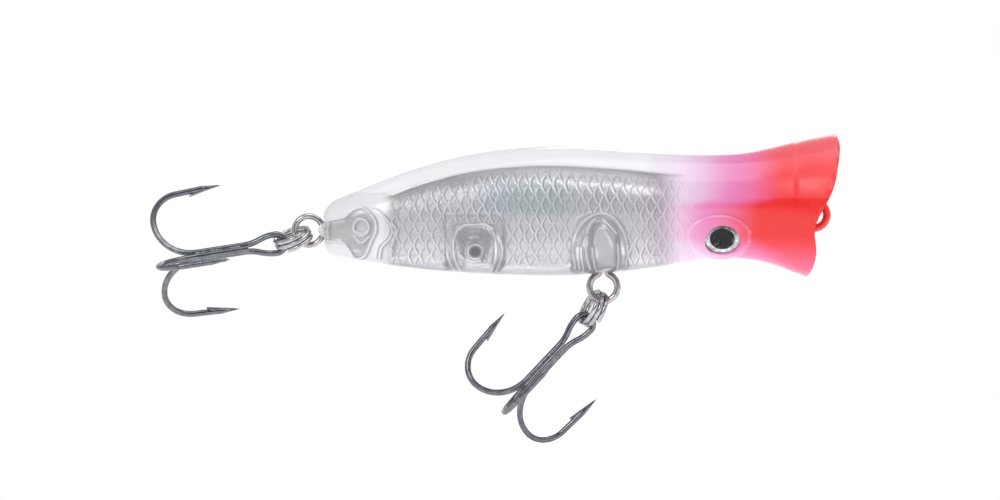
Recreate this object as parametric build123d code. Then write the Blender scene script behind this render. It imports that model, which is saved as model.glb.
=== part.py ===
from build123d import *
import os
from math import cos, radians, sin, sqrt

# Topwater popper, a floating surface lure, in millimetres.
# The origin is the centre of the line-tie eye. +X points forward out of the nose, +Z is up as the
# lure swims, and the two halves of the body meet on the plane Y = 0.

# ---- body ------------------------------------------------------------------------------------
# Profile points along the body: x, top, bottom, half width. Each cross-section is an ellipse.
HULL = [
    (-57.03, 0.20, -3.60, 1.05),
    (-56.50, 1.12, -4.45, 1.62),
    (-55.40, 1.78, -4.82, 2.05),
    (-53.00, 2.78, -5.25, 2.68),
    (-48.20, 4.66, -5.94, 3.78),
    (-42.60, 6.38, -6.52, 4.86),
    (-36.00, 7.55, -6.90, 5.70),
    (-28.50, 7.93, -6.99, 6.10),
    (-20.20, 7.46, -6.29, 5.80),
    (-12.50, 7.12, -5.17, 5.20),
    (-8.50, 7.23, -5.02, 5.12),
    (-4.50, 7.90, -5.80, 5.45),
    (-1.00, 8.75, -7.15, 6.10),
    (3.60, 9.55, -9.00, 6.95),
]
HULL_SECTIONS = 26
TAIL_CROWDING = 1.7             # how much closer together the sections lie towards the tail
# The air chamber inside, closed at both ends by solid plastic.
CHAMBER = [
    (-49.20, 2.30, -4.75, 2.45),
    (-43.50, 4.30, -5.30, 3.60),
    (-36.00, 5.55, -5.72, 4.50),
    (-28.50, 5.82, -5.80, 4.95),
    (-20.20, 5.20, -5.15, 4.65),
    (-14.20, 4.60, -4.25, 4.10),
]
CHAMBER_SECTIONS = 9
# The edge of the mouth, seen from the side, from above the top lip to below the bottom lip.
RIM = [
    (1.60, 9.90),
    (2.58, 9.36),
    (2.92, 8.50),
    (2.80, 6.00),
    (2.22, 3.10),
    (1.22, 1.00),
    (0.40, -0.55),
    (0.03, -2.10),
    (0.22, -3.90),
    (0.05, -5.50),
    (-0.45, -6.70),
    (-1.60, -7.60),
]
CUP_CENTRE = (2.5, 0, 0.9)
CUP_RADII = (7.0, 6.0, 7.6)

# ---- wire hangers ----------------------------------------------------------------------------
SEAT_GAP = 0.03                 # how much wider a seat is than the wire it holds
STRAND_GAP = 0.10               # between the two strands of a hanger's neck
LINE_TIE_WIRE = 0.90            # over the paint
LINE_TIE_RADIUS = 1.55          # eye, to the middle of the wire
LINE_TIE_REACH = 8.20           # from the eye's centre to the post inside the head
BELLY_WIRE = 0.78
BELLY_EYE = (-24.48, -8.42)
BELLY_EYE_RADIUS = 1.62
BELLY_REACH = 4.05              # to the middle of the post's lower end
BELLY_POST_LENGTH = 2.20        # between the centres of the post's round ends
TAIL_WIRE = 0.70
TAIL_EYE = (-58.80, -1.82)
TAIL_EYE_RADIUS = 1.675
TAIL_REACH = 6.10
POST_RADIUS = 1.05              # the posts that the inner loops pass round
WIRE_END_GAP = 12               # half the angle left open between a hanger's two wire ends

# ---- inside features -------------------------------------------------------------------------
POCKET_DEPTH = 0.55             # each side of the seam
ARCH_X = (-28.10, -21.85)       # solid tower that holds the belly hanger
ARCH_TOP = 0.10
TAIL_TAB_CENTRE = (-56.85, -1.75)
TAIL_TAB_RADIUS = 0.85
TAIL_TAB_HALF = 0.60
CAGE_X = (-42.70, -36.20)       # ball cage, outside its walls
CAGE_WALL = 0.85
CAGE_ROOF = -0.10
CAGE_CENTRE_X = -39.42
CAGE_STOP_Z = -4.31             # tubular stops that keep the ball off the side walls
CAGE_STOP_RADIUS = 1.10
CAGE_STOP_BORE = 0.68
CAGE_STOP_TIP = 2.20
BALL_RADIUS = 2.0
BALL_CENTRE = (-39.42, 0, -3.03)

# ---- eyes ------------------------------------------------------------------------------------
EYE_X = -10.68
EYE_Z = -2.95
EYE_TILT = 35                   # how far the eye looks down
EYE_RADIUS = 2.05
PUPIL_RADIUS = 1.43
FOIL_THICKNESS = 0.30
PUPIL_THICKNESS = 0.08
LENS_HEIGHT = 0.62
EYE_DEPTH = 0.72                # from the skin down to the seat
EYE_SIDE_Y = 3.90               # where the skin is, at the middle of the eye

# ---- split rings -----------------------------------------------------------------------------
RING_RADIUS = 2.08              # to the middle of the wire
RING_WIRE = 0.55
RING_PITCH = 0.58               # from one turn to the next
RING_LAP = 30                   # half the angle over which three strands lie side by side
RING_TURNS = 2 + RING_LAP / 180
# How each ring hangs: angle below the tail direction, tilt out of square, and how far the strand
# sits from the middle of the hanger's eye, along and across the ring.
BELLY_RING = (63.5, -20, 0.68, 0.0)
TAIL_RING = (22.3, -18, -0.05, 0.10)

# ---- treble hooks ----------------------------------------------------------------------------
HOOK_WIRE = 0.72
HOOK_BUNDLE = 0.45              # from the shank's middle to the middle of each wire
HOOK_HEEL_RADIUS = 4.55         # the bend is wide next to the shank and tighter next to the spear
HOOK_THROAT_RADIUS = 3.20
HOOK_HEEL_X = 10.70             # from the eye's end to the start of the bend
HOOK_FLARE = 3                  # how far the spear leans away from the shank
SPEAR_LENGTH = 5.30             # from the bend to the tip of the point
POINT_TAPER = 2.1
POINT_TIP_RADIUS = 0.04
HOOK_EYE_HALF = 1.10            # eye, to the middle of the wire
HOOK_EYE_END = 5.20             # where the two wires of the eye meet
SINGLE_START = 4.70
BRAZE_X = (5.6, 10.9)
BARB_FROM_TIP = 3.75
BARB_CUT = 0.75                 # length of the nick behind the barb
BARB_HEIGHT = 0.62              # from the middle of the wire
BARB_THICKNESS = 0.40
EYE_SEAT = 1.45                 # from the eye's end to the middle of the split ring's strands
# How each treble lies: angle of its shank below the tail direction, and turn about the shank.
BELLY_HOOK = (46.7, 3.2)
TAIL_HOOK = (8.8, 6.5)


def half_ellipse(x, top, bottom, half_width):
    """One station's cross-section on the -Y side, closed along the seam."""
    middle = (top + bottom) / 2
    half_height = (top - bottom) / 2
    plane = Plane(origin=(x, 0, middle), x_dir=(0, 1, 0), z_dir=(1, 0, 0))
    arc = EllipticalCenterArc((0, 0), half_width, half_height, 90, arc_size=180)
    return plane * make_face([arc.edge(), Line(arc @ 1, arc @ 0).edge()])


def between(points, x):
    """Smoothly interpolated profile values at x, with slopes taken from the points on either side."""
    last = len(points) - 1
    i = max(k for k in range(last) if points[k][0] <= x)
    start, end = points[i], points[i + 1]
    before, after = points[max(i - 1, 0)], points[min(i + 2, last)]
    span = end[0] - start[0]
    t = (x - start[0]) / span
    values = []
    for k in range(1, len(start)):
        slope_in = (end[k] - before[k]) / (end[0] - before[0]) * span
        slope_out = (after[k] - start[k]) / (after[0] - start[0]) * span
        values.append((2 * t ** 3 - 3 * t ** 2 + 1) * start[k] + (t ** 3 - 2 * t ** 2 + t) * slope_in
                      + (3 * t ** 2 - 2 * t ** 3) * end[k] + (t ** 3 - t ** 2) * slope_out)
    return values


def half_loft(points, sections, crowding):
    """Half a body through elliptical sections, with its flat side on the seam."""
    first, last = points[0][0], points[-1][0]
    places = [first + (last - first) * (i / sections) ** crowding for i in range(sections + 1)]
    return loft([half_ellipse(x, *between(points, x)) for x in places])


def side_prism(face, y_from, y_to):
    """A face drawn in side view, x across and z up, made solid between two values of y."""
    return extrude(Plane.XZ.offset(-y_to) * face, y_to - y_from)


def spline_face(points):
    curve = Spline(*points, periodic=True)
    return make_face(curve.edge())


def mouth_cutter():
    """Everything in front of the edge of the mouth."""
    curve = Spline(*RIM)
    ahead, low, high = 9, -12, 12
    front = Polyline(RIM[-1], (RIM[-1][0], low), (ahead, low), (ahead, high), (RIM[0][0], high), RIM[0])
    return side_prism(make_face([curve.edge(), *front.edges()]), -9, 0)


def cup():
    return Location(CUP_CENTRE) * scale(Sphere(1), by=CUP_RADII)


# ---- hangers ---------------------------------------------------------------------------------
def hanger_path(centre, outward, wire, radius, reach, post_length, blend):
    """Centre line of a hanger bent from one wire: the outer eye, a neck of two strands side by
    side, and a loop round a post, with the wire's two ends facing each other at the back."""
    post_wrap = POST_RADIUS + wire / 2 + SEAT_GAP
    strand = (wire + STRAND_GAP) / 2
    out = Vector(outward[0], 0, outward[1])
    side = Vector(-outward[1], 0, outward[0])
    origin = Vector(centre[0], 0, centre[1])

    def at(along, across):
        return origin + out * along + side * across

    outer = sqrt((radius + blend) ** 2 - (strand + blend) ** 2)
    inner = sqrt((post_wrap + blend) ** 2 - (strand + blend) ** 2)
    near = -reach
    far = -reach - post_length

    def half(sign):
        """One strand, from the wire's end to the neck's outer end."""
        open_angle = radians(WIRE_END_GAP)
        end = at(far - post_wrap * cos(open_angle), sign * post_wrap * sin(open_angle))
        corner = at(far - post_wrap * cos(radians(50)), sign * post_wrap * sin(radians(50)))
        quarter = at(far, sign * post_wrap)
        share = (strand + blend) / (post_wrap + blend)
        touch = at(near + inner * post_wrap / (post_wrap + blend), sign * post_wrap * share)
        edges = [ThreePointArc(end, corner, quarter)]
        if post_length > 0:
            edges.append(Line(quarter, at(near, sign * post_wrap)))
        edges.append(TangentArc(at(near, sign * post_wrap), touch, tangent=out))
        strand_start = at(near + inner, sign * strand)
        strand_end = at(-outer, sign * strand)
        edges.append(TangentArc(strand_start, touch, tangent=out * -1))
        edges.append(Line(strand_start, strand_end))
        share = (strand + blend) / (radius + blend)
        leave = at(-outer * radius / (radius + blend), sign * radius * share)
        edges.append(TangentArc(strand_end, leave, tangent=out))
        return edges, leave

    first, start = half(1)
    second, finish = half(-1)
    eye = ThreePointArc(start, at(radius, 0), finish)
    return Wire([piece.edge() for piece in [*first, eye, *second]])


def wire_along(path, diameter):
    start = path.position_at(0)
    plane = Plane(origin=start, z_dir=path.tangent_at(0))
    return sweep(plane * Circle(diameter / 2), path=path)


def line_tie_path():
    return hanger_path((0, 0), (1, 0), LINE_TIE_WIRE, LINE_TIE_RADIUS, LINE_TIE_REACH, 0, 0.9)


def belly_hanger_path():
    return hanger_path(BELLY_EYE, (0, -1), BELLY_WIRE, BELLY_EYE_RADIUS, BELLY_REACH, BELLY_POST_LENGTH, 0.5)


def tail_hanger_path():
    return hanger_path(TAIL_EYE, (-1, 0), TAIL_WIRE, TAIL_EYE_RADIUS, TAIL_REACH, 0, 0.8)


# ---- inside of a shell -----------------------------------------------------------------------
def belly_tower():
    """The solid tower over the belly hanger, arched at the top."""
    left, right = ARCH_X
    middle = (left + right) / 2
    spring = -4.0
    sides = Polyline((left, spring), (left, -8), (right, -8), (right, spring))
    roof = Spline((right, spring), (middle, ARCH_TOP), (left, spring), tangents=[(0, 1), (0, -1)])
    return side_prism(make_face([*sides.edges(), roof.edge()]), -8, 0)


def belly_pocket():
    """The hollow round the belly hanger's inner loop, with its oval post left standing."""
    reach = POST_RADIUS + BELLY_WIRE + 3 * SEAT_GAP
    low = BELLY_EYE[1] + BELLY_REACH
    high = low + BELLY_POST_LENGTH
    x = BELLY_EYE[0]
    middle = (x, (low + high) / 2)
    room = Location((*middle, 0)) * SlotCenterToCenter(high - low, 2 * reach, rotation=90)
    post = Location((*middle, 0)) * SlotCenterToCenter(high - low, 2 * POST_RADIUS, rotation=90)
    return side_prism(room - post, -POCKET_DEPTH, 0)


def tail_pocket():
    """The lobed hollow round the tail hanger's inner loop, with its round post left standing."""
    outline = spline_face([
        (-55.30, -0.75), (-53.90, 0.35), (-52.40, 0.55), (-50.95, -1.20), (-51.75, -3.30),
        (-52.60, -4.60), (-54.10, -3.70), (-55.30, -3.00),
    ])
    post = Location((TAIL_EYE[0] + TAIL_REACH, TAIL_EYE[1], 0)) * Circle(POST_RADIUS)
    return side_prism(outline - post, -POCKET_DEPTH, 0)


def head_pocket():
    reach = POST_RADIUS + LINE_TIE_WIRE + 3 * SEAT_GAP
    ring = Location((-LINE_TIE_REACH, 0, 0)) * (Circle(reach) - Circle(POST_RADIUS))
    return side_prism(ring, -POCKET_DEPTH, 0)


def ball_cage():
    """The cage's wall, seen from the side: flat across the roof and rounded towards the belly."""
    left, right = CAGE_X
    middle = (left + right) / 2

    def outline(inset, roof, depth):
        start, end = left + inset, right - inset
        sides = Polyline((start, -3.0), (start, roof), (end, roof), (end, -3.0))
        belly = Spline((end, -3.0), (middle, depth), (start, -3.0), tangents=[(0, -1), (0, 1)])
        return make_face([*sides.edges(), belly.edge()])

    wall = outline(0, CAGE_ROOF, -8.0) - outline(CAGE_WALL, CAGE_ROOF - CAGE_WALL, -7.4)
    return side_prism(wall, -8, 0)


def cage_stop():
    tube = Location((CAGE_CENTRE_X, CAGE_STOP_Z, 0)) * (Circle(CAGE_STOP_RADIUS) - Circle(CAGE_STOP_BORE))
    return side_prism(tube, -8, -CAGE_STOP_TIP)


def tail_tab():
    """The small tab behind the tail that closes round the hanger's neck."""
    return side_prism(Location((*TAIL_TAB_CENTRE, 0)) * Circle(TAIL_TAB_RADIUS), -TAIL_TAB_HALF, 0)


def eye_plane(sign, depth):
    """The eye's own plane, facing outwards and down, at a depth below the skin."""
    tilt = radians(EYE_TILT)
    outward = Vector(0, sign * cos(tilt), -sin(tilt))
    skin = Vector(EYE_X, sign * EYE_SIDE_Y, EYE_Z)
    return Plane(origin=skin - outward * depth, x_dir=(1, 0, 0), z_dir=outward)


def eye_socket():
    return eye_plane(-1, EYE_DEPTH) * extrude(Circle(EYE_RADIUS + SEAT_GAP), 3)


def right_shell():
    hull = half_loft(HULL, HULL_SECTIONS, TAIL_CROWDING) + tail_tab()
    air = half_loft(CHAMBER, CHAMBER_SECTIONS, 1) - belly_tower() - ball_cage() - cage_stop()
    shell = hull - mouth_cutter() - cup() - air
    shell = shell - belly_pocket() - tail_pocket() - head_pocket() - eye_socket()
    seats = [
        (line_tie_path(), LINE_TIE_WIRE),
        (belly_hanger_path(), BELLY_WIRE),
        (tail_hanger_path(), TAIL_WIRE),
    ]
    for path, wire in seats:
        shell = shell - wire_along(path, wire + SEAT_GAP)
    return shell


# ---- eyes ------------------------------------------------------------------------------------
def eye_foil(sign):
    return eye_plane(sign, EYE_DEPTH) * extrude(Circle(EYE_RADIUS), FOIL_THICKNESS)


def eye_pupil(sign):
    return eye_plane(sign, EYE_DEPTH - FOIL_THICKNESS) * extrude(Circle(PUPIL_RADIUS), PUPIL_THICKNESS)


def eye_lens(sign):
    """A clear dome over the foil and the pupil."""
    dome_radius = (EYE_RADIUS ** 2 + LENS_HEIGHT ** 2) / (2 * LENS_HEIGHT)
    ball = Location((0, 0, LENS_HEIGHT - dome_radius)) * Sphere(dome_radius)
    dome = ball & extrude(Circle(EYE_RADIUS), LENS_HEIGHT)
    dome = dome - extrude(Circle(PUPIL_RADIUS), PUPIL_THICKNESS)
    return eye_plane(sign, EYE_DEPTH - FOIL_THICKNESS) * dome


# ---- split rings -----------------------------------------------------------------------------
def below_tail(angle):
    """A direction in side view, an angle below straight back."""
    return Vector(-cos(radians(angle)), 0, -sin(radians(angle)))


def ring_frame(eye, hang):
    """The ring's centre, the direction from the hanger to the hook, and the ring's axis."""
    drop, tilt, along, across = hang
    pull = below_tail(drop)
    square = Vector(0, -1, 0)
    lean = square.cross(pull)
    axis = lean * cos(radians(tilt)) + square * sin(radians(tilt))
    near = Vector(eye[0], 0, eye[1]) + pull * along + lean * across
    return near + pull * RING_RADIUS, pull, axis


def split_ring(frame):
    centre, pull, axis = frame
    height = RING_TURNS * RING_PITCH
    helix = Helix(RING_PITCH, height, RING_RADIUS)
    start = Plane(origin=helix @ 0, z_dir=helix % 0)
    coil = sweep(start * Circle(RING_WIRE / 2), path=helix, is_frenet=True)
    coil = Location((0, 0, -height / 2), (0, 0, -RING_LAP)) * coil
    return Plane(origin=centre, x_dir=pull.cross(axis), z_dir=axis) * coil


# ---- treble hooks ----------------------------------------------------------------------------
# A treble is drawn with its eye's end at the origin and its shank along X. The eye lies flat in
# the X-Y plane, the brazed-on single hook opens towards +Z, and the other two are 120 degrees away.
def bend_points():
    """Side view of one hook as (x, distance from the shank's middle): shank end, bottom of the
    bend, a point on the tight part of the bend, spear start and spear direction."""
    flare = radians(HOOK_FLARE)
    bottom = (HOOK_HEEL_X + HOOK_HEEL_RADIUS, HOOK_BUNDLE + HOOK_HEEL_RADIUS)
    centre_x = bottom[0] - HOOK_THROAT_RADIUS
    half_turn = radians(45 - HOOK_FLARE / 2)
    throat = (centre_x + HOOK_THROAT_RADIUS * cos(half_turn), bottom[1] + HOOK_THROAT_RADIUS * sin(half_turn))
    spear = (centre_x + HOOK_THROAT_RADIUS * sin(flare), bottom[1] + HOOK_THROAT_RADIUS * cos(flare))
    return (HOOK_HEEL_X, HOOK_BUNDLE), bottom, throat, spear, (-cos(flare), sin(flare))


def leg_point(angle, place):
    x, out = place
    return Vector(x, out * cos(radians(angle)), out * sin(radians(angle)))


def leg_edges(angle, shank_start):
    """Centre line of one hook, from its spear round the bend to the top of the shank."""
    heel, bottom, throat, spear, along = bend_points()
    straight = SPEAR_LENGTH - POINT_TAPER
    taper_start = (spear[0] + along[0] * straight, spear[1] + along[1] * straight)
    turn = radians(45)
    belly = (heel[0] + HOOK_HEEL_RADIUS * sin(turn), bottom[1] - HOOK_HEEL_RADIUS * cos(turn))
    stops = [leg_point(angle, place) for place in (taper_start, spear, throat, bottom, belly, heel)]
    return [
        Line(stops[0], stops[1]),
        ThreePointArc(*stops[1:4]),
        ThreePointArc(*stops[3:6]),
        Line(stops[5], leg_point(angle, (shank_start, HOOK_BUNDLE))),
    ]


def leg_point_and_barb(angle):
    """The tapered point, and the barb on its inner side, drawn along the spear and turned to it."""
    spear = bend_points()[3]
    radius = HOOK_WIRE / 2
    cone = Cone(radius, POINT_TIP_RADIUS, POINT_TAPER, align=(Align.CENTER, Align.CENTER, Align.MIN))
    cone = Location((SPEAR_LENGTH - POINT_TAPER, 0, 0), (0, 90, 0)) * cone
    barb_x = SPEAR_LENGTH - BARB_FROM_TIP
    outline = [(SPEAR_LENGTH - 0.35, 0), (barb_x, -BARB_HEIGHT), (barb_x + BARB_CUT, -0.5 * radius),
               (barb_x + BARB_CUT, 0)]
    wedge = make_face(Polyline(*outline, close=True).edges())
    barb = Location((0, 0, -BARB_THICKNESS / 2)) * extrude(wedge, BARB_THICKNESS)
    along_spear = Plane(origin=(*spear, 0), x_dir=(*bend_points()[4], 0), z_dir=(0, 0, -1))
    return Rotation(angle, 0, 0) * (along_spear * (cone + barb))


def double_hook():
    """The wire that makes the eye and two of the hooks."""
    left, right = 210, 330
    edges_left = leg_edges(left, HOOK_EYE_END)
    edges_right = leg_edges(right, HOOK_EYE_END)
    level = HOOK_BUNDLE * sin(radians(right))
    strand = HOOK_BUNDLE * cos(radians(right))
    cap_x = HOOK_WIRE / 2 + HOOK_EYE_HALF
    middle_x = (cap_x + HOOK_EYE_END) / 2
    middle_y = (strand + HOOK_EYE_HALF) / 2
    eye = [ThreePointArc((cap_x, -HOOK_EYE_HALF, level), (HOOK_WIRE / 2, 0, level),
                         (cap_x, HOOK_EYE_HALF, level))]
    for sign in (-1, 1):
        turn = Vector(middle_x, sign * middle_y, level)
        eye.append(TangentArc(Vector(cap_x, sign * HOOK_EYE_HALF, level), turn, tangent=(1, 0, 0)))
        eye.append(TangentArc(Vector(HOOK_EYE_END, sign * strand, level), turn, tangent=(-1, 0, 0)))
    path = Wire([piece.edge() for piece in [*edges_left, *eye, *edges_right]])
    return wire_along(path, HOOK_WIRE) + leg_point_and_barb(left) + leg_point_and_barb(right)


def single_hook():
    path = Wire([piece.edge() for piece in leg_edges(90, SINGLE_START)])
    return wire_along(path, HOOK_WIRE) + leg_point_and_barb(90)


def braze():
    """Brazing metal between the three shanks and in the grooves beside them."""
    length = BRAZE_X[1] - BRAZE_X[0]
    corners = [(HOOK_BUNDLE * cos(radians(a)), HOOK_BUNDLE * sin(radians(a))) for a in (90, 210, 330)]
    core = make_face(Polyline(*corners, close=True).edges())
    core = offset(core, 0.24, kind=Kind.ARC)
    wires = Sketch() + [Location((*corner, 0)) * Circle(HOOK_WIRE / 2) for corner in corners]
    start = Plane(origin=(BRAZE_X[0], 0, 0), x_dir=(0, 1, 0), z_dir=(1, 0, 0))
    return extrude(start * (core - wires), length)


def treble_place(frame, hang):
    """Where a treble lies when a split ring's strands pass through its eye."""
    centre, pull, axis = frame
    drop, turn = hang
    shank = below_tail(drop)
    down = Vector(0, -1, 0).cross(shank)
    facing = Vector(0, -cos(radians(turn)), 0) + down * sin(radians(turn))
    strands = centre + pull * RING_RADIUS - Vector(axis.X, 0, axis.Z) * RING_PITCH / 4
    level = HOOK_BUNDLE * sin(radians(330))
    return Plane(origin=strands - shank * EYE_SEAT - facing * level, x_dir=shank, z_dir=facing)


# ---- everything, in place --------------------------------------------------------------------
belly_frame = ring_frame(BELLY_EYE, BELLY_RING)
tail_frame = ring_frame(TAIL_EYE, TAIL_RING)
belly_treble = treble_place(belly_frame, BELLY_HOOK)
tail_treble = treble_place(tail_frame, TAIL_HOOK)

shell = right_shell()
nodes = {
    "right_shell": shell,
    "left_shell": mirror(shell, about=Plane.XZ),
    "line_tie": wire_along(line_tie_path(), LINE_TIE_WIRE),
    "belly_hanger": wire_along(belly_hanger_path(), BELLY_WIRE),
    "tail_hanger": wire_along(tail_hanger_path(), TAIL_WIRE),
    "ballast_ball": Location(BALL_CENTRE) * Sphere(BALL_RADIUS),
    "belly_split_ring": split_ring(belly_frame),
    "tail_split_ring": split_ring(tail_frame),
}
for side, sign in (("right", -1), ("left", 1)):
    nodes[f"{side}_eye_foil"] = eye_foil(sign)
    nodes[f"{side}_eye_pupil"] = eye_pupil(sign)
    nodes[f"{side}_eye_lens"] = eye_lens(sign)
for end, place in (("belly", belly_treble), ("tail", tail_treble)):
    nodes[f"{end}_double_hook"] = place * double_hook()
    nodes[f"{end}_single_hook"] = place * single_hook()
    nodes[f"{end}_hook_braze"] = place * braze()

os.makedirs("parts", exist_ok=True)
for name, solid in nodes.items():
    export_step(solid, f"parts/{name}.step")
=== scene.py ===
import math
import bmesh
import bpy
import numpy as np
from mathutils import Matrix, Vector
from mathutils.bvhtree import BVHTree


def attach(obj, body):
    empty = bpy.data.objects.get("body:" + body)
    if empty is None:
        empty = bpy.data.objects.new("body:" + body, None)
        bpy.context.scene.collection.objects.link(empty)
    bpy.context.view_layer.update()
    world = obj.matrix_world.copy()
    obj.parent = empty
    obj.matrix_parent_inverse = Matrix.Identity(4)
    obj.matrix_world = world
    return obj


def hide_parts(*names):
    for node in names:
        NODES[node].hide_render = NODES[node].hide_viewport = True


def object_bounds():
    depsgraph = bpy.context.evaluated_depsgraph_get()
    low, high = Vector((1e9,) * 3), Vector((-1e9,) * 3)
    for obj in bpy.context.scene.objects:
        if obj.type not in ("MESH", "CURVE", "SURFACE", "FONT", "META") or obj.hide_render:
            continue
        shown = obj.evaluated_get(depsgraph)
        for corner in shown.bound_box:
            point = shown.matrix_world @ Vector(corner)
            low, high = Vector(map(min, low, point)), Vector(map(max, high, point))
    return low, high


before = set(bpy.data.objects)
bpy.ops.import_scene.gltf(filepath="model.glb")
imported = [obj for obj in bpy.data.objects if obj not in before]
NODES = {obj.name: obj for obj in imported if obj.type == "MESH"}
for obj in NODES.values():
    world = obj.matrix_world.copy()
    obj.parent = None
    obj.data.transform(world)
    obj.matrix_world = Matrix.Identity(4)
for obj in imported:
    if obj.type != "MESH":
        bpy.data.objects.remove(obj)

# Looks for the topwater popper: a clear moulded body with scales and a red faded head, wire hangers,
# foil eyes, split rings and treble hooks. Shapes are built in millimetres and stored in metres, in
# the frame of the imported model: +X towards the mouth, +Y towards the left flank, +Z up.

MM = 0.001
CAD_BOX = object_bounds()

# ---- driving sizes of the moulded detail, in millimetres -----------------------------------------
SEAM_GAP = 0.012                 # from the middle plane to each half
SKIN_LIFT = 0.060                # the detailed skin stands this far proud of the plain shell
SKIN_ROOT = 0.30                 # and reaches this far into the wall
BORDER_DEPTH = 0.06              # its front and back edges end this far inside the wall
FINE_STEP = 0.095                # grid of the skin where it has scales
PLAIN_STEP = 0.30                # and where it is smooth

SCALE_PITCH = 1.35               # along the body
SCALE_ROW = 1.18                 # from one row to the next
SCALE_REACH = 1.20               # half the height of one scale
SCALE_SWEEP = 0.43               # a scale's edge is x = SCALE_SWEEP * z ** 1.5 from its tip
SCALE_RIDGE = 0.055              # how proud its edge stands
SCALE_LINE = 0.075               # half the width of the edge
SCALES_X = (-49.1, -14.2)
SCALES_BOTTOM = -5.6
CREASE = [                       # x and z of the line where the scales end, below the back
    (-49.0, 2.43), (-45.7, 3.64), (-40.1, 5.03), (-34.5, 5.69), (-29.5, 5.81), (-22.4, 5.36), (-17.7, 4.89),
    (-13.5, 4.75),
]
BACK_LINE = [                    # a faint line along the back, above the crease: a painted reflection of the chamber's roof
    (-54.0, 1.75), (-48.2, 3.95), (-42.6, 5.70), (-36.0, 6.90), (-28.5, 7.25), (-20.2, 6.80), (-14.5, 6.45),
]
TAIL_POCKET = [                  # the closed outline of the pocket round the tail hanger
    (-57.0, -0.75), (-54.75, -0.3), (-54.0, 0.35), (-53.3, 0.72), (-52.5, 0.8), (-51.7, 0.15),
    (-51.1, -0.75), (-51.05, -1.9), (-51.55, -3.0), (-52.15, -4.5), (-52.75, -5.05), (-53.5, -5.0),
    (-54.2, -3.95), (-54.9, -3.2), (-57.0, -3.05),
]

TOWER_X = (-28.10, -21.85)       # the arch over the belly hanger
TOWER_TOP = 0.10
CAGE_X = (-42.70, -36.20)        # the walls round the rattle ball
CAGE_TOP = -0.10
STOP = (-39.42, -4.31)           # the stop beside the ball, with its bore painted dark as shade
STOP_BORE = 0.62

# The raised socket round the eye: middle x and z, half length and half height.
EYE_RING = (-11.06, -2.55, 3.60, 2.40)
EYE_RING_HEIGHT = 0.30
SOCKET_GAP = 0.02                # between the eye's foil and the hole in the skin
SOCKET_CUT = 4                   # how far out that hole is cut

LINE_WIDTH = 0.10                # half width of the lines round the tower and the tail
LINE_STRENGTH = 0.75             # and how strong they are beside the scales


# ---- curves and smooth steps ---------------------------------------------------------------------
def rise(values, low, high):
    """0 below low and 1 above high, with a smooth step between. high may be the smaller one."""
    share = np.clip((values - low) / (high - low), 0, 1)
    return share * share * (3 - 2 * share)


def between(values, low, high, soft):
    """1 between low and high, fading to 0 over soft outside each."""
    return rise(values, low - soft, low) * rise(values, high + soft, high)


def through(points, count=12):
    """Points along a smooth curve through the given ones."""
    points = [np.array(p, float) for p in points]
    ends = [2 * points[0] - points[1]] + points + [2 * points[-1] - points[-2]]
    steps = np.linspace(0, 1, count, endpoint=False)
    line = []
    for a, b, c, d in zip(ends, ends[1:], ends[2:], ends[3:]):
        for t in steps:
            line.append(b + (c - a) * t / 2 + (2 * a - 5 * b + 4 * c - d) * t ** 2 / 2
                        + (3 * b - a - 3 * c + d) * t ** 3 / 2)
    return np.array(line + [points[-1]])


def ellipse(x, z, half_x, half_z, start=0, end=360, count=40):
    """Points on an ellipse from one angle to another, in degrees."""
    angles = np.radians(np.linspace(start, end, count))
    return np.column_stack((x + half_x * np.cos(angles), z + half_z * np.sin(angles)))


def near(x, z, line, width):
    """1 on the line, falling to 0 away from it, as a ridge of about that half width."""
    best = np.full(x.shape, 1e9)
    for (x0, z0), (x1, z1) in zip(line, line[1:]):
        dx, dz = x1 - x0, z1 - z0
        share = np.clip(((x - x0) * dx + (z - z0) * dz) / (dx * dx + dz * dz + 1e-12), 0, 1)
        best = np.minimum(best, (x - x0 - share * dx) ** 2 + (z - z0 - share * dz) ** 2)
    return np.exp(-best / width ** 2)


# ---- the moulded pattern: where the raised lines, painted as highlights, and the dark lines of painted shade run ---
def scale_lines(x, z, shift):
    """The edges of the scales, or the dark lines of painted shade beside them where shift isn't 0."""
    best = np.zeros(x.shape)
    nearest = np.round(z / SCALE_ROW)
    for step in (-1, 0, 1):
        row = nearest + step
        dz = z - row * SCALE_ROW
        tip = np.sqrt(dz ** 2 + SCALE_LINE ** 2)
        along = x - shift - SCALE_SWEEP * tip ** 1.5 - (row % 2) * SCALE_PITCH / 2
        away = along - np.round(along / SCALE_PITCH) * SCALE_PITCH
        shown = rise(np.abs(dz), SCALE_REACH, 0.85 * SCALE_REACH)
        best = np.maximum(best, shown * np.exp(-(away / SCALE_LINE) ** 2))
    return best


def crease_height(x):
    line = through(CREASE)
    return np.interp(x, line[:, 0], line[:, 1])


def scale_mask(x, z):
    """Where the flank has scales: below the crease, and not over the arch."""
    top = crease_height(x)
    mask = between(x, *SCALES_X, 0.3) * rise(z, top - 0.2, top - 1.3)
    mask = mask * rise(z, SCALES_BOTTOM - 0.4, SCALES_BOTTOM)
    tower = between(x, *TOWER_X, 0.2) * rise(z, TOWER_TOP + 0.2, TOWER_TOP - 0.1)
    cage = between(x, *CAGE_X, 0.4) * rise(z, CAGE_TOP, CAGE_TOP - 1.5)
    return mask * (1 - tower) * (1 - 0.55 * cage)


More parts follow.
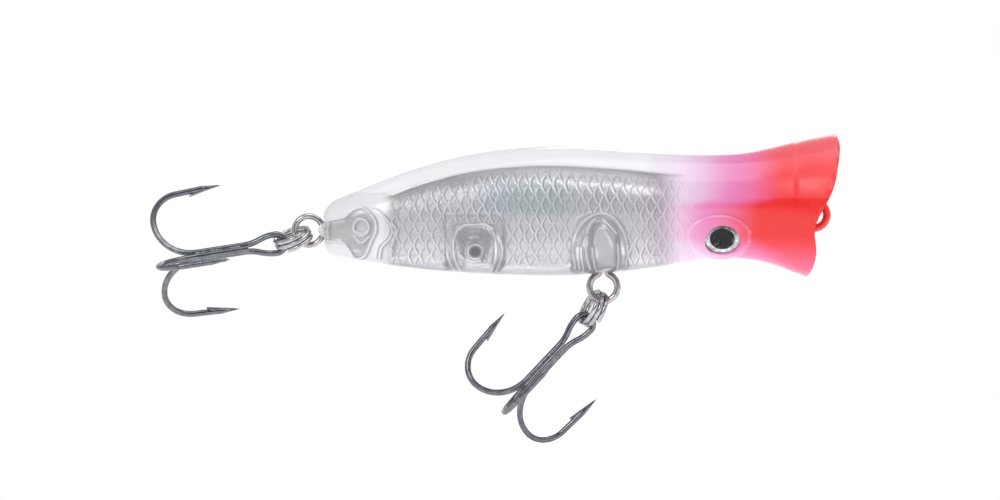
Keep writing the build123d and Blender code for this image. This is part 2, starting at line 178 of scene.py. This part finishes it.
def arch_lines():
    """The arch over the belly hanger, as lines of painted highlight with painted shade beside them: its edge,
    the strokes inside its top, the boss and the ribs below.
    """
    lines = [
        through([(-27.76, -6.2), (-28.1, -3.6), (-27.4, -1.6), (-26.25, -0.3), (-24.8, 0.2), (-23.5, -0.2),
                 (-22.6, -1.25), (-22.0, -2.5), (-21.7, -4.2), (-21.9, -6.0)]),
        through([(-26.5, -2.1), (-26.0, -0.95), (-25.4, -0.45)]),
        through([(-24.6, -0.5), (-23.85, -1.25), (-23.0, -2.2)]),
        through([(-22.9, -3.4), (-22.75, -4.8), (-22.9, -6.3)]),
    ]
    for top_x, foot_x in ((-27.45, -27.3), (-27.1, -26.8), (-26.6, -26.05), (-25.8, -25.4)):
        lines.append(through([(top_x, -3.8), ((top_x + foot_x) / 2 - 0.08, -5.1), (foot_x, -6.4)], 6))
    return lines


def cage_lines():
    """The double walls round the rattle ball, its roof and the stop that the ball rests on, as lines of
    painted highlight with painted shade beside them.
    """
    return [
        through([(-42.77, -3.2), (-42.59, -4.9), (-41.87, -6.4), (-41.05, -6.8)]),
        through([(-41.52, -1.8), (-41.97, -3.1), (-41.87, -5.0), (-41.28, -6.2), (-40.75, -6.9)]),
        through([(-37.36, -1.9), (-37.0, -3.5), (-37.06, -5.15), (-37.71, -6.7)]),
        through([(-36.76, -2.5), (-36.29, -3.8), (-36.35, -5.0), (-37.0, -6.6)]),
        through([(-41.5, -1.8), (-40.57, -1.2), (-39.6, -1.15), (-38.3, -1.1), (-37.4, -1.7)]),
        ellipse(STOP[0], STOP[1], 0.86, 0.86),
        ellipse(STOP[0], STOP[1], 1.15, 1.15, 140, 300),
    ]


def tail_lines():
    """The pocket round the tail hanger, its boss, and the S-shaped lines before the scales, as lines of
    painted highlight with painted shade beside them.
    """
    bend = [(-51.5, 0.73), (-50.3, -0.25), (-49.55, -1.5), (-49.75, -2.55), (-50.75, -3.6), (-51.05, -4.9)]
    return [
        through(TAIL_POCKET),
        ellipse(-52.7, -1.45, 0.9, 0.95),
        through([(-53.6, -2.3), (-52.7, -3.25), (-51.75, -2.5)]),
        through([(-53.45, -1.85), (-52.65, -2.15), (-51.9, -1.85)]),
        through(bend),
        through([(x + 0.42, z - 0.12) for x, z in bend]),
        through([(-49.1, -0.97), (-48.65, -1.86), (-48.95, -2.98), (-49.25, -4.1), (-49.2, -4.9)]),
        through([(-56.55, -0.9), (-56.62, -1.8), (-56.55, -2.7)]),
    ]


def inside(x, z, outline):
    """True for the points inside a closed outline."""
    odd = np.zeros(x.shape, bool)
    for (x0, z0), (x1, z1) in zip(outline, outline[1:] + outline[:1]):
        crosses = (z0 > z) != (z1 > z)
        odd ^= crosses & (x < x0 + (z - z0) * (x1 - x0) / (z1 - z0 + 1e-12))
    return odd


def pale(x, z):
    """Where the plastic is thick and looks nearly white: the back above the crease, and the tail."""
    back = rise(z, crease_height(x) - 0.1, crease_height(x) + 0.25)
    tail = rise(x, -47.6, -50.6) * np.where(inside(x, z, TAIL_POCKET), 0.35, 0.75)
    return np.maximum(back, tail)


# lines drawn as painted highlights, with painted shade beside them
LINES = arch_lines() + cage_lines() + tail_lines()


def marks(x, z):
    """How bright and how dark the moulded lines are at each point, both from 0 to 1: the bright lines are
    painted highlights, the dark lines painted shade. The dark lines run beside the bright ones, as the shade
    of their edges."""
    mask = scale_mask(x, z)
    patchy = 0.74 + 0.26 * np.sin(0.61 * x + 0.4 * z) * np.cos(0.33 * x - 0.7 * z)
    bright = mask * patchy * scale_lines(x, z, 0)
    dark = mask * patchy * scale_lines(x, z, 0.21)
    # a painted highlight along the crease and painted shade just under it
    crease = np.exp(-((z - crease_height(x)) / 0.13) ** 2) * between(x, -49.4, -15.5, 0.8)
    under = np.exp(-((z - crease_height(x) + 0.28) / 0.12) ** 2) * between(x, -49.0, -15.5, 0.8)
    bright = np.maximum(bright, crease)
    dark = np.maximum(dark, 0.7 * under)
    # the lines over the arch, the cage and the tail: painted highlights, with painted shade beside them
    for line in LINES:
        bright = np.maximum(bright, LINE_STRENGTH * near(x, z, line, LINE_WIDTH))
        dark = np.maximum(dark, LINE_STRENGTH * near(x - 0.26, z + 0.05, line, 1.6 * LINE_WIDTH))
    # the back line, a painted reflection of the chamber's roof
    bright = np.maximum(bright, 0.4 * near(x, z, through(BACK_LINE), LINE_WIDTH))
    # a painted highlight along the edge of the eye's socket
    bright = np.maximum(bright, LINE_STRENGTH * near(x, z, ellipse(*EYE_RING), LINE_WIDTH))
    # the stop's bore: painted shade
    bore = rise(np.hypot(x - STOP[0], z - STOP[1]), STOP_BORE + 0.1, STOP_BORE - 0.05)
    return bright * (1 - bore), np.maximum(dark, bore)


def relief(x, z):
    """How far the skin stands out from the plain hull."""
    bright, dark = marks(x, z)
    height = SCALE_RIDGE * bright - 0.5 * SCALE_RIDGE * dark
    middle_x, middle_z, half_x, half_z = EYE_RING
    away = np.hypot((x - middle_x) / half_x, (z - middle_z) / half_z)
    ring = rise(away, 1.12, 0.92)
    return height + EYE_RING_HEIGHT * ring


# ---- the hull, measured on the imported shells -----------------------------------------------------
def millimetre_mesh(name):
    """A copy of a CAD node's mesh in millimetres, with its split corners joined, as a BMesh."""
    work = bmesh.new()
    work.from_mesh(NODES[name].data)
    bmesh.ops.remove_doubles(work, verts=work.verts, dist=2e-7)
    bmesh.ops.scale(work, vec=(1 / MM, 1 / MM, 1 / MM), verts=work.verts)
    return work


class Hull:
    """The outer skin as half ellipses across the body."""

    FIRST = -56.9
    LAST = -1.75
    STATIONS = 150
    CROWDING = 1.4               # how much closer together the stations lie towards the tail

    def __init__(self):
        work = millimetre_mesh("right_shell")
        tree = BVHTree.FromBMesh(work)
        work.free()
        share = np.linspace(0, 1, self.STATIONS)
        self.x = self.FIRST + (self.LAST - self.FIRST) * share ** self.CROWDING
        rows = np.array([self.measure(tree, x) for x in self.x])
        rows[1:-1] = (rows[:-2] + 2 * rows[1:-1] + rows[2:]) / 4
        self.top, self.bottom, self.half = rows.T

    @staticmethod
    def measure(tree, x):
        """Top, bottom and half width of the hull at one place along the body."""
        beside_seam = -0.6
        top = tree.ray_cast(Vector((x, beside_seam, 30)), Vector((0, 0, -1)))[0].z
        bottom = tree.ray_cast(Vector((x, beside_seam, -30)), Vector((0, 0, 1)))[0].z
        middle = (top + bottom) / 2
        half = -tree.ray_cast(Vector((x, -30, middle)), Vector((0, 1, 0)))[0].y
        height = (top - bottom) / 2 / math.sqrt(1 - (beside_seam / half) ** 2)
        return middle + height, middle - height, half

    def at(self, x):
        """Middle height, half height and half width at x."""
        top = np.interp(x, self.x, self.top)
        bottom = np.interp(x, self.x, self.bottom)
        return (top + bottom) / 2, (top - bottom) / 2, np.interp(x, self.x, self.half)

    def point(self, x, angle, outward):
        """A point on the right flank: angle 0 is the back and pi the belly."""
        middle, height, half = self.at(x)
        across = np.sin(angle) * (half + outward)
        return np.stack((x, -across, middle + np.cos(angle) * (height + outward)), -1)


HULL = Hull()


# ---- meshes --------------------------------------------------------------------------------------
def closed_sheet(outer, inner):
    """Points and faces of a sheet with two sides and four edges, from two grids of points."""
    rows, columns = outer.shape[:2]
    points = np.concatenate((outer.reshape(-1, 3), inner.reshape(-1, 3)))
    number = np.arange(rows * columns).reshape(rows, columns)
    quads = np.stack((number[:-1, :-1], number[:-1, 1:], number[1:, 1:], number[1:, :-1]), -1).reshape(-1, 4)
    loop = np.concatenate((number[0, :-1], number[:-1, -1], number[-1, :0:-1], number[:0:-1, 0]))
    ahead = np.roll(loop, -1)
    inside = rows * columns
    edge = np.stack((loop, loop + inside, ahead + inside, ahead), -1)
    return points, np.concatenate((quads, quads[:, ::-1] + inside, edge))


def mesh_object(name, work):
    """An object from a BMesh in millimetres, with its faces turned outwards."""
    bmesh.ops.recalc_face_normals(work, faces=work.faces)
    mesh = bpy.data.meshes.new(name)
    work.to_mesh(mesh)
    work.free()
    piece = bpy.data.objects.new(name, mesh)
    bpy.context.scene.collection.objects.link(piece)
    return piece


def grid_object(name, points, faces):
    work = bmesh.new()
    corners = [work.verts.new(p) for p in points.tolist()]
    for face in faces.tolist():
        work.faces.new([corners[i] for i in face])
    return mesh_object(name, work)


def steps(start, end, fine_start, fine_end, fine, plain):
    """Places from start to end, closer together between fine_start and fine_end."""
    places = [start]
    while places[-1] < end - 1e-6:
        at = places[-1]
        step = fine if fine_start <= at < fine_end else plain
        places.append(min(at + step, end))
    return np.array(places)


def skin_sheet(name, sign):
    """The detailed skin of one flank, rooted in the shell's wall."""
    x = steps(HULL.FIRST + 0.25, HULL.LAST, -56.0, -13.6, FINE_STEP, PLAIN_STEP)
    girth = 5.9                  # mean half height, which turns arc length into an angle
    angle = steps(0.02, math.pi - 0.02, 0.45, 2.85, FINE_STEP / girth, PLAIN_STEP / girth)
    x, angle = np.meshgrid(x, angle, indexing="ij")
    plain = HULL.point(x, angle, 0)
    height = relief(plain[..., 0], plain[..., 2]) + SKIN_LIFT
    border = rise(x, HULL.FIRST + 0.25, HULL.FIRST + 0.6) * rise(x, HULL.LAST, HULL.LAST - 0.5)
    height = height * border - BORDER_DEPTH * (1 - border)
    outer = HULL.point(x, angle, height)
    inner = HULL.point(x, angle, -SKIN_ROOT)
    inner[..., 1] = np.minimum(inner[..., 1], -SEAM_GAP)
    outer[..., 1] = np.minimum(outer[..., 1], -SEAM_GAP)
    points, faces = closed_sheet(outer, inner)
    points[:, 1] *= -sign
    return grid_object(name, points, faces)


def eye_axis(side):
    """The middle of an eye's foil, its outward direction and its radius, in millimetres."""
    foil = np.array([v.co for v in NODES[side + "_eye_foil"].data.vertices]) / MM
    middle = foil.mean(axis=0)
    directions = np.linalg.svd(foil - middle)[2]
    outward = directions[2] * np.sign(directions[2][1] * middle[1])
    radius = np.ptp((foil - middle) @ directions[0]) / 2
    return middle, outward, radius


def rod(name, start, direction, length, radius, sides=96):
    """A plain round cutter."""
    turn = Vector(direction).to_track_quat("Z", "Y").to_matrix().to_4x4()
    work = bmesh.new()
    bmesh.ops.create_cone(work, cap_ends=True, segments=sides, radius1=radius, radius2=radius, depth=length)
    bmesh.ops.translate(work, vec=(0, 0, length / 2), verts=work.verts)
    bmesh.ops.transform(work, matrix=turn, verts=work.verts)
    bmesh.ops.translate(work, vec=start, verts=work.verts)
    return mesh_object(name, work)


def block(name, low, high):
    work = bmesh.new()
    bmesh.ops.create_cube(work, size=1)
    size = [b - a for a, b in zip(low, high)]
    bmesh.ops.scale(work, vec=size, verts=work.verts)
    bmesh.ops.translate(work, vec=[(a + b) / 2 for a, b in zip(low, high)], verts=work.verts)
    return mesh_object(name, work)


def combine(target, tool, operation):
    """Joins, cuts or trims target by tool, and takes tool away."""
    modifier = target.modifiers.new("combine", "BOOLEAN")
    modifier.operation = operation
    modifier.solver = "MANIFOLD"
    modifier.object = tool
    depsgraph = bpy.context.evaluated_depsgraph_get()
    made = bpy.data.meshes.new_from_object(target.evaluated_get(depsgraph))
    target.modifiers.clear()
    target.data = made
    bpy.data.objects.remove(tool)


def body_half(side, sign):
    """One moulded half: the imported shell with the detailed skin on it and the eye's socket cut through."""
    piece = mesh_object(side + "_body", millimetre_mesh(side + "_shell"))
    combine(piece, skin_sheet(side + "_skin", sign), "UNION")
    middle, outward, radius = eye_axis(side)
    combine(piece, rod(side + "_socket", middle, outward, SOCKET_CUT, radius + SOCKET_GAP), "DIFFERENCE")
    reach = sign * 20
    low = (-90, min(sign * SEAM_GAP, reach), -40)
    high = (20, max(sign * SEAM_GAP, reach), 40)
    combine(piece, block(side + "_trim", low, high), "INTERSECT")
    return piece


def finish_body(piece, side):
    """Stores the painted highlights and painted shade of the moulded lines, and where the plastic is pale, on
    the body's points, goes back to metres and smooths the shading.
    """
    mesh = piece.data
    count = len(mesh.vertices)
    points = np.empty(count * 3)
    mesh.vertices.foreach_get("co", points)
    points = points.reshape(-1, 3)
    x, z = points[:, 0], points[:, 2]
    middle, height, half = HULL.at(x)
    away = np.hypot((z - middle) / height, points[:, 1] / half)
    on_skin = rise(away, 0.965, 0.985) * (x < HULL.LAST)
    bright, dark = marks(x, z)
    for name, values in (("bright", bright * on_skin), ("dark", dark * on_skin), ("pale", pale(x, z))):
        layer = mesh.attributes.new(name, "FLOAT", "POINT")
        layer.data.foreach_set("value", values.astype(np.float32))
    mesh.vertices.foreach_set("co", (points * MM).ravel())
    mesh.update()
    mesh.shade_smooth()
    mesh.set_sharp_from_angle(angle=math.radians(38))
    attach(piece, "root")
    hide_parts(side + "_shell")


# ---- materials -----------------------------------------------------------------------------------
def linear(red, green, blue):
    """A colour given from 0 to 255, as a shader takes it."""
    channels = [c / 255 for c in (red, green, blue)]
    return [c / 12.92 if c <= 0.04045 else ((c + 0.055) / 1.055) ** 2.4 for c in channels] + [1]


class Paint:
    """A material and the few kinds of node that the materials here are made from."""

    def __init__(self, name, **sockets):
        self.material = bpy.data.materials.new(name)
        self.material.use_nodes = True
        self.tree = self.material.node_tree
        self.shader = self.tree.nodes["Principled BSDF"]
        for socket, value in sockets.items():
            self.set(socket.replace("_", " "), value)

    def set(self, socket, value):
        self.put(self.shader.inputs[socket], value)

    def put(self, socket, value):
        if isinstance(value, bpy.types.NodeSocket):
            self.tree.links.new(value, socket)
        else:
            socket.default_value = value

    def node(self, kind, inputs, **settings):
        node = self.tree.nodes.new(kind)
        for key, value in settings.items():
            setattr(node, key, value)
        for key, value in inputs.items():
            self.put(node.inputs[key], value)
        return node

    def spot(self):
        return self.tree.nodes.new("ShaderNodeTexCoord").outputs["Object"]

    def place(self):
        """x, y and z in metres."""
        return self.node("ShaderNodeSeparateXYZ", {0: self.spot()}).outputs

    def attribute(self, name):
        return self.node("ShaderNodeAttribute", {}, attribute_name=name).outputs["Fac"]

    def maths(self, operation, a, b=0.0, c=0.0):
        return self.node("ShaderNodeMath", {0: a, 1: b, 2: c}, operation=operation).outputs[0]

    def times(self, *factors):
        product = factors[0]
        for factor in factors[1:]:
            product = self.maths("MULTIPLY", product, factor)
        return product

    def rise(self, value, low, high, start=0.0, end=1.0):
        """start below low and end above high, with a smooth step between."""
        inputs = {"Value": value, "From Min": low, "From Max": high, "To Min": start, "To Max": end}
        return self.node("ShaderNodeMapRange", inputs, interpolation_type="SMOOTHSTEP").outputs["Result"]

    def mix(self, share, a, b):
        node = self.node("ShaderNodeMix", {"Factor": share}, data_type="RGBA")
        self.put(node.inputs[6], a)
        self.put(node.inputs[7], b)
        return node.outputs[2]

    def noise(self, scale, detail=3.0, rough=0.5):
        inputs = {"Vector": self.spot(), "Scale": scale, "Detail": detail, "Roughness": rough}
        return self.node("ShaderNodeTexNoise", inputs).outputs["Fac"]

    def bump(self, height, strength, distance):
        inputs = {"Height": height, "Strength": strength, "Distance": distance}
        self.set("Normal", self.node("ShaderNodeBump", inputs).outputs["Normal"])


def body_material():
    """Clear plastic with painted highlights on the scale edges and painted shade beside them, painted red over
    the head and fading out behind the eye.
    """
    paint = Paint("clear_body_paint", IOR=1.46, Coat_Weight=0.15, Coat_Roughness=0.12)
    x, _, z = paint.place()
    bright = paint.attribute("bright")
    dark = paint.attribute("dark")
    thick = paint.attribute("pale")
    cloud = paint.noise(260.0)

    # The clear part: cloudy plastic, a blue-green shimmer in the middle, a pale back, painted shade towards
    # the belly, and the moulded lines as painted highlights with painted shade beside them.
    body = paint.mix(cloud, linear(229, 228, 231), linear(246, 245, 246))
    shimmer_height = paint.times(paint.rise(z, -0.001, 0.001), paint.rise(z, 0.0048, 0.003))
    shimmer_length = paint.times(paint.rise(x, -0.0400, -0.0360), paint.rise(x, -0.0265, -0.0310))
    shimmer = paint.times(shimmer_height, shimmer_length, paint.noise(700.0, 1.0))
    tint = paint.mix(paint.rise(x, -0.0375, -0.0335), linear(176, 204, 226), linear(162, 212, 196))
    body = paint.mix(paint.times(shimmer, 0.50), body, tint)
    body = paint.mix(thick, body, linear(252, 251, 252))
    # painted shade: darker grey towards the belly
    belly = paint.rise(z, -0.0045, -0.0062)
    body = paint.mix(paint.times(belly, 0.5), body, linear(222, 218, 224))
    # painted shade beside the moulded lines
    body = paint.mix(dark, body, linear(104, 106, 112))
    # painted highlights on the moulded lines
    body = paint.mix(bright, body, linear(252, 252, 254))

    # The paint: lilac, then pink, then red towards the mouth, with an uneven edge that reaches further
    # back beside the eye.
    reach = paint.maths("MULTIPLY_ADD", paint.noise(190.0, 2.0), 0.0016, paint.maths("SUBTRACT", x, 0.0008))
    low_band = paint.times(paint.rise(z, 0.0021, 0.0008), paint.rise(z, -0.0052, -0.0022, -0.0011, 0.0030))
    reach = paint.maths("ADD", reach, low_band)
    lilac = paint.rise(x, -0.0205, -0.0135)
    pink = paint.rise(reach, -0.0150, -0.0088)
    red = paint.rise(reach, -0.0098, -0.0030)
    deep = paint.rise(z, 0.00215, 0.00175)
    shade = paint.mix(deep, linear(238, 64, 68), linear(230, 38, 36))
    chin = paint.times(paint.rise(z, -0.0022, -0.0068), 0.85)
    shade = paint.mix(chin, shade, linear(232, 104, 142))
    crown = paint.times(paint.rise(z, 0.0058, 0.0084), 0.5)
    shade = paint.mix(crown, shade, linear(236, 108, 124))
    colour = paint.mix(paint.times(lilac, 0.95), body, linear(226, 196, 224))
    colour = paint.mix(paint.times(pink, 0.85), colour, linear(228, 108, 172))
    colour = paint.mix(red, colour, shade)
    # the painted highlights of the scale edges show pale pink through the lilac paint
    colour = paint.mix(paint.times(bright, lilac, 0.35), colour, linear(255, 226, 236))
    paint.set("Base Color", colour)

    clear = paint.times(
        paint.rise(x, -0.0150, -0.0190),
        paint.rise(thick, 0.0, 1.0, 1.0, 0.26),
        paint.rise(bright, 0.1, 0.9, 0.84, 0.45),
        paint.rise(dark, 0.1, 0.9, 1.0, 0.5),
    )
    paint.set("Transmission Weight", clear)
    matt = paint.maths("MULTIPLY_ADD", red, 0.2, paint.rise(cloud, 0.3, 0.7, 0.05, 0.11))
    paint.set("Roughness", matt)
    paint.bump(paint.noise(900.0, 2.0), 0.03, 0.0003)
    return paint.material


def metal(name, colour, worn, rough, grain):
    """A metal with colour and roughness that vary a little, and fine drawing marks."""
    scale = 1500.0
    paint = Paint(name, Metallic=1.0)
    patch = paint.noise(scale, 4.0, 0.6)
    paint.set("Base Color", paint.mix(paint.rise(patch, 0.35, 0.7), linear(*colour), linear(*worn)))
    paint.set("Roughness", paint.rise(patch, 0.3, 0.7, rough, rough * 1.8))
    paint.bump(paint.noise(scale * 4, 2.0), grain, 0.0001)
    return paint.material


def braze_material():
    """The dull, speckled metal where the hook's wires are joined."""
    paint = Paint("braze_metal", Metallic=0.85)
    patch = paint.noise(2600.0, 5.0, 0.75)
    paint.set("Base Color", paint.mix(paint.rise(patch, 0.4, 0.62), linear(74, 76, 80), linear(196, 196, 198)))
    paint.set("Roughness", paint.rise(patch, 0.3, 0.7, 0.55, 0.30))
    paint.bump(patch, 0.6, 0.0002)
    return paint.material


def foil_material():
    """Crinkled silver foil."""
    paint = Paint("eye_foil_silver", Metallic=1.0)
    cells = paint.node("ShaderNodeTexVoronoi", {"Vector": paint.spot(), "Scale": 1600.0}).outputs["Distance"]
    worn = paint.rise(cells, 0.1, 0.8)
    paint.set("Base Color", paint.mix(worn, linear(254, 254, 255), linear(226, 229, 234)))
    paint.set("Roughness", paint.rise(cells, 0.0, 0.8, 0.20, 0.32))
    paint.bump(cells, 0.08, 0.0002)
    return paint.material


def pupil_material():
    paint = Paint("eye_pupil_black", Specular_IOR_Level=0.1)
    speck = paint.noise(600.0)
    paint.set("Base Color", paint.mix(speck, linear(14, 14, 17), linear(24, 24, 28)))
    paint.set("Roughness", paint.rise(speck, 0.3, 0.7, 0.4, 0.55))
    return paint.material


def lens_material():
    """Clear resin with a faint haze."""
    paint = Paint("eye_lens_clear", IOR=1.28, Transmission_Weight=1.0)
    haze = paint.noise(900.0)
    paint.set("Base Color", paint.mix(haze, linear(246, 246, 248), linear(255, 255, 255)))
    paint.set("Roughness", paint.rise(haze, 0.3, 0.7, 0.0, 0.01))
    return paint.material


def wire_paint():
    """Red gloss paint on the line tie."""
    paint = Paint("line_tie_paint", Coat_Weight=0.5, Coat_Roughness=0.05)
    patch = paint.noise(1200.0)
    paint.set("Base Color", paint.mix(patch, linear(226, 44, 44), linear(246, 76, 70)))
    paint.set("Roughness", paint.rise(patch, 0.3, 0.7, 0.22, 0.34))
    paint.bump(patch, 0.1, 0.0002)
    return paint.material


def dress(names, material):
    """Gives CAD nodes a material."""
    for name in names:
        mesh = NODES[name].data
        mesh.materials.clear()
        mesh.materials.append(material)


# ---- build ---------------------------------------------------------------------------------------
BODY_PAINT = body_material()
for flank, direction in (("right", -1), ("left", 1)):
    half = body_half(flank, direction)
    finish_body(half, flank)
    half.data.materials.clear()
    half.data.materials.append(BODY_PAINT)

dress(["line_tie"], wire_paint())
dress(["belly_hanger", "tail_hanger"], metal("hanger_steel", (190, 184, 184), (150, 146, 148), 0.14, 0.03))
dress(["ballast_ball"], metal("ball_chrome", (190, 192, 196), (160, 162, 168), 0.08, 0.02))
dress(["right_eye_foil", "left_eye_foil"], foil_material())
dress(["right_eye_pupil", "left_eye_pupil"], pupil_material())
dress(["right_eye_lens", "left_eye_lens"], lens_material())
RING_NICKEL = metal("ring_nickel", (192, 192, 194), (160, 160, 162), 0.13, 0.03)
dress(["belly_split_ring", "tail_split_ring"], RING_NICKEL)
HOOK_STEEL = metal("hook_black_nickel", (124, 125, 129), (102, 103, 108), 0.10, 0.02)
dress([n for n in NODES if n.endswith("double_hook") or n.endswith("single_hook")], HOOK_STEEL)
dress([n for n in NODES if n.endswith("braze")], braze_material())


# ---- floor, light and camera ---------------------------------------------------------------------
FLOOR_SIZE = 0.8                 # metres
FLOOR_GAP = 0.0004
LENS_PLACE = (-0.03653, -1.9416, -0.00408)


def floor():
    """A pale floor just under the lowest hook."""
    low, high = CAD_BOX
    middle = (low + high) / 2
    place = (middle.x, middle.y, low.z - FLOOR_GAP)
    bpy.ops.mesh.primitive_plane_add(size=FLOOR_SIZE, location=place)
    plane = bpy.context.object
    plane.name = "floor"
    paint = Paint("pale_floor", Roughness=0.7, Emission_Strength=0.40)
    paint.set("Base Color", linear(250, 250, 250))
    paint.set("Emission Color", linear(255, 255, 255))
    plane.data.materials.append(paint.material)


def soft_light(name, offset, size, power):
    """An area light that looks at the middle of the body."""
    low, high = CAD_BOX
    middle = (low + high) / 2
    light = bpy.data.lights.new(name, "AREA")
    light.size = size
    light.energy = power
    lamp = bpy.data.objects.new(name, light)
    lamp.location = middle + Vector(offset)
    lamp.rotation_euler = (middle - lamp.location).to_track_quat("-Z", "Y").to_euler()
    bpy.context.scene.collection.objects.link(lamp)


def surroundings():
    """White behind the object; in reflections, a soft pale room that is darker on the -Y side."""
    world = bpy.data.worlds.new("studio")
    bpy.context.scene.world = world
    world.use_nodes = True
    tree = world.node_tree

    def node(kind, inputs, **settings):
        made = tree.nodes.new(kind)
        for key, value in settings.items():
            setattr(made, key, value)
        for key, value in inputs.items():
            if isinstance(value, bpy.types.NodeSocket):
                tree.links.new(value, made.inputs[key])
            else:
                made.inputs[key].default_value = value
        return made

    place = node("ShaderNodeTexCoord", {}).outputs["Generated"]
    direction = node("ShaderNodeSeparateXYZ", {0: place}).outputs
    height = node("ShaderNodeMapRange", {"Value": direction["Z"], "From Min": -1}).outputs["Result"]
    ramp = node("ShaderNodeValToRGB", {"Fac": height})
    low, high = ramp.color_ramp.elements
    low.position, low.color = 0.52, linear(226, 227, 231)
    high.position, high.color = 0.85, linear(212, 213, 217)
    edges = {"Value": direction["Y"], "From Min": -0.97, "From Max": -0.72, "To Min": 0.22}
    front = node("ShaderNodeMapRange", edges, interpolation_type="SMOOTHSTEP").outputs["Result"]
    scaled = {0: ramp.outputs["Color"], "Scale": front}
    room = node("ShaderNodeVectorMath", scaled, operation="SCALE").outputs["Vector"]
    seen = node("ShaderNodeLightPath", {}).outputs["Is Camera Ray"]
    choice = node("ShaderNodeMix", {"Factor": seen, 6: room, 7: (1, 1, 1, 1)}, data_type="RGBA")
    background = tree.nodes["Background"]
    tree.links.new(choice.outputs[2], background.inputs["Color"])
    background.inputs["Strength"].default_value = 1.0


def camera():
    """Side on to the right flank, from far enough to flatten the view."""
    data = bpy.data.cameras.new("camera")
    data.lens = 600
    data.sensor_width = 36
    data.clip_start = 0.01
    lens = bpy.data.objects.new("camera", data)
    lens.location = LENS_PLACE
    lens.rotation_euler = (math.radians(90), 0, 0)
    bpy.context.scene.collection.objects.link(lens)
    bpy.context.scene.camera = lens


floor()
soft_light("top_softbox", (0.05, -0.10, 0.35), 0.30, 0.45)
soft_light("front_softbox", (-0.20, -0.38, 0.26), 0.16, 0.40)
soft_light("back_softbox", (0.10, 0.40, 0.20), 0.20, 0.20)
surroundings()
camera()
bpy.context.scene.view_settings.view_transform = "Standard"
